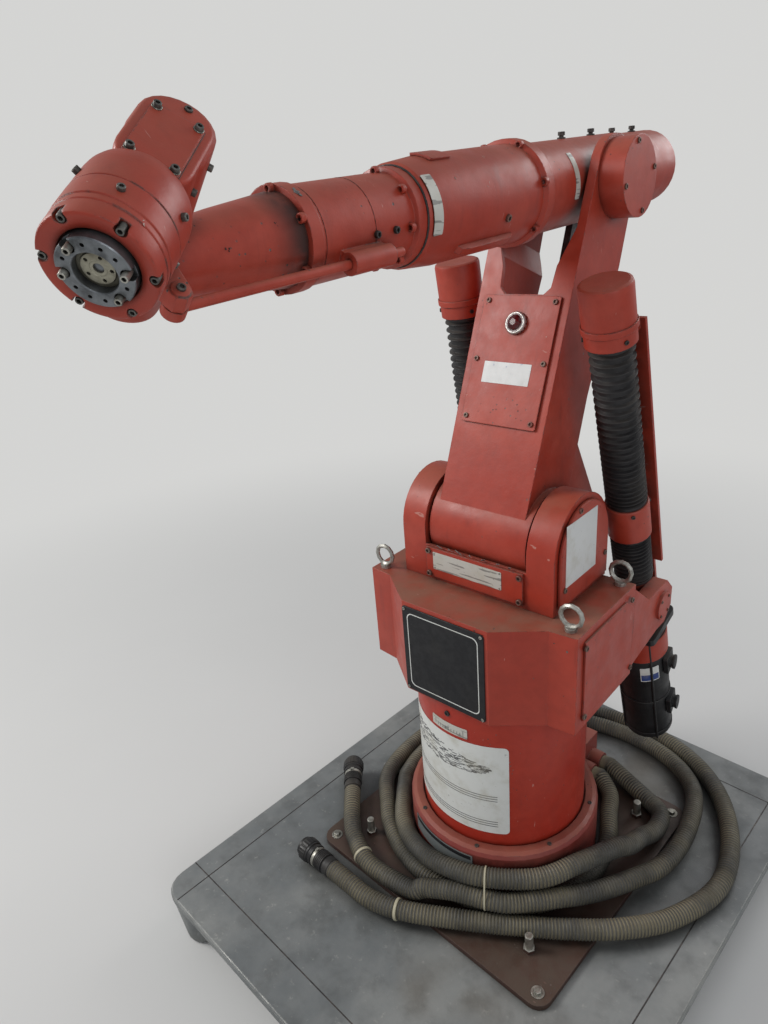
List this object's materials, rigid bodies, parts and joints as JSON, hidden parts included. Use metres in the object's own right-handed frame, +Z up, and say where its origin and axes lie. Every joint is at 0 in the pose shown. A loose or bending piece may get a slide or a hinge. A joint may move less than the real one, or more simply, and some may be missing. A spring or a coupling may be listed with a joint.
{
  "type": "industrial robot arm",
  "caption": "Articulated robot arm driven by ball screws, on a round pedestal bolted to a low steel plinth, with an offset wrist, a bare tool flange and coiled supply hoses.",
  "frame": {"origin": "floor level under the middle of the whole machine's box, hoses left out of the measure", "axes": "+Z up; -Y is the robot's front, where the forearm points; +X is the robot's right side, along the shoulder axis"},
  "size_m": [1.0394, 1.3807, 1.6438],
  "materials": {
    "red_paint": "faded semi-gloss red paint, chipped and dusty",
    "dull_red_paint": "dirty dark red paint",
    "deck_steel": "worn grey steel with bright edges",
    "motor_black": "satin black",
    "link_grey": "dark grey, greasy",
    "bare_steel": "machined, lightly tarnished",
    "black_rubber": "matt black",
    "hose_black": "matt black with pale dust",
    "lamp_red": "clear dark red lens"
  },
  "bodies": {
    "base": {"plinth_deck": "deck_steel", "plinth_foot_front_right": "deck_steel", "plinth_foot_front_left": "deck_steel", "plinth_foot_rear_right": "deck_steel", "plinth_foot_rear_left": "deck_steel", "base_plate": "dull_red_paint", "pedestal_foot": "red_paint", "pedestal_column": "red_paint", "cable_box": "red_paint", "hose_a": "hose_black", "hose_b": "hose_black", "hose_connector_a": "black_rubber", "hose_connector_b": "black_rubber"},
    "turret": {"turret_casting": "red_paint", "turret_side_cover_left": "red_paint", "turret_side_cover_right": "red_paint", "shoulder_housing": "red_paint", "shoulder_front_cover": "red_paint", "shoulder_end_cap_left": "red_paint", "shoulder_end_cap_right": "red_paint", "trunnion_bracket_left": "red_paint", "trunnion_bracket_right": "red_paint", "screw_frame_left": "red_paint", "screw_cap_left": "red_paint", "screw_motor_left": "motor_black", "bellows_upper_left": "black_rubber", "bellows_lower_left": "black_rubber"},
    "screw_right": {"screw_frame_right": "red_paint", "screw_cap_right": "red_paint", "screw_motor_right": "motor_black", "bellows_upper_right": "black_rubber", "bellows_lower_right": "black_rubber"},
    "nut_right": {"screw_nut_right": "red_paint"},
    "nut_left": {"screw_nut_left": "red_paint"},
    "arm": {"upper_arm": "red_paint", "arm_front_panel": "red_paint", "arm_lamp": "lamp_red", "elbow_cap_left": "red_paint", "elbow_cap_right": "red_paint"},
    "lever": {"elbow_lever": "link_grey"},
    "link": {"elbow_link_rod": "link_grey"},
    "forearm": {"forearm_housing": "red_paint", "forearm_rear_drum": "red_paint", "forearm_tube": "red_paint"},
    "roll": {"roll_tube": "red_paint", "wrist_arm": "red_paint"},
    "rod": {"push_rod": "red_paint"},
    "wrist": {"wrist_housing": "red_paint", "wrist_cover_plate": "red_paint", "bend_lever": "red_paint"},
    "flange": {"tool_flange": "bare_steel"}
  },
  "joints": [
    {"name": "base_swing", "type": "hinge", "parent": "base", "child": "turret", "pos_m": [0, 0.116, 0.6181], "axis": [0, 0, 1], "range_deg": [-150, 150]},
    {"name": "arm_swing", "type": "hinge", "parent": "turret", "child": "arm", "pos_m": [0, 0.128, 0.9264], "axis": [1, 0, 0], "range_deg": [-20, 40]},
    {"name": "screw_tilt_right", "type": "hinge", "parent": "turret", "child": "screw_right", "pos_m": [0.18, 0.366, 0.7054], "axis": [1, 0, 0], "range_deg": [-4.1, 2.1]},
    {"name": "nut_slide_right", "type": "slide", "parent": "screw_right", "child": "nut_right", "axis": [0, -0.299, 0.9542], "range_m": [-0.057, 0.113], "deforming": ["bellows_upper_right", "bellows_lower_right"]},
    {"name": "elbow", "type": "hinge", "parent": "arm", "child": "forearm", "pos_m": [0, 0.35634, 1.5307], "axis": [1, 0, 0], "range_deg": [-20, 25]},
    {"name": "lever_swing", "type": "hinge", "parent": "arm", "child": "lever", "pos_m": [0, 0.128, 0.9264], "axis": [1, 0, 0], "range_deg": [-20, 25]},
    {"name": "link_swing", "type": "hinge", "parent": "lever", "child": "link", "pos_m": [0, 0.2366, 0.94387], "axis": [1, 0, 0], "range_deg": [-25, 20]},
    {"name": "nut_slide_left", "type": "slide", "parent": "turret", "child": "nut_left", "axis": [0, -0.1599, 0.9871], "range_m": [-0.07, 0.088], "deforming": ["bellows_upper_left", "bellows_lower_left"]},
    {"name": "forearm_roll", "type": "hinge", "parent": "forearm", "child": "roll", "pos_m": [0, 0.35634, 1.5307], "axis": [0, -0.9985, -0.0541], "range_deg": [-175, 175]},
    {"name": "wrist_bend", "type": "hinge", "parent": "roll", "child": "wrist", "pos_m": [0, -0.55332, 1.48143], "axis": [0.7193, -0.0376, 0.6936], "range_deg": [-45, 45]},
    {"name": "rod_slide", "type": "slide", "parent": "roll", "child": "rod", "axis": [0, 0.9985, 0.0541], "range_m": [-0.058, 0.058]},
    {"name": "tool_turn", "type": "hinge", "parent": "wrist", "child": "flange", "pos_m": [0.08093, -0.55755, 1.55946], "axis": [0.4334, -0.7561, -0.4904], "range_deg": [-180, 180]}
  ],
  "couplings": [
    {"joint": "screw_tilt_right", "follows": "arm_swing", "ratio": -0.1},
    {"joint": "nut_slide_right", "follows": "arm_swing", "m_per_rad": 0.161},
    {"joint": "lever_swing", "follows": "elbow", "ratio": 1},
    {"joint": "link_swing", "follows": "elbow", "ratio": -1},
    {"joint": "nut_slide_left", "follows": "elbow", "m_per_rad": 0.1995},
    {"joint": "rod_slide", "follows": "wrist_bend", "m_per_rad": 0.073}
  ]
}
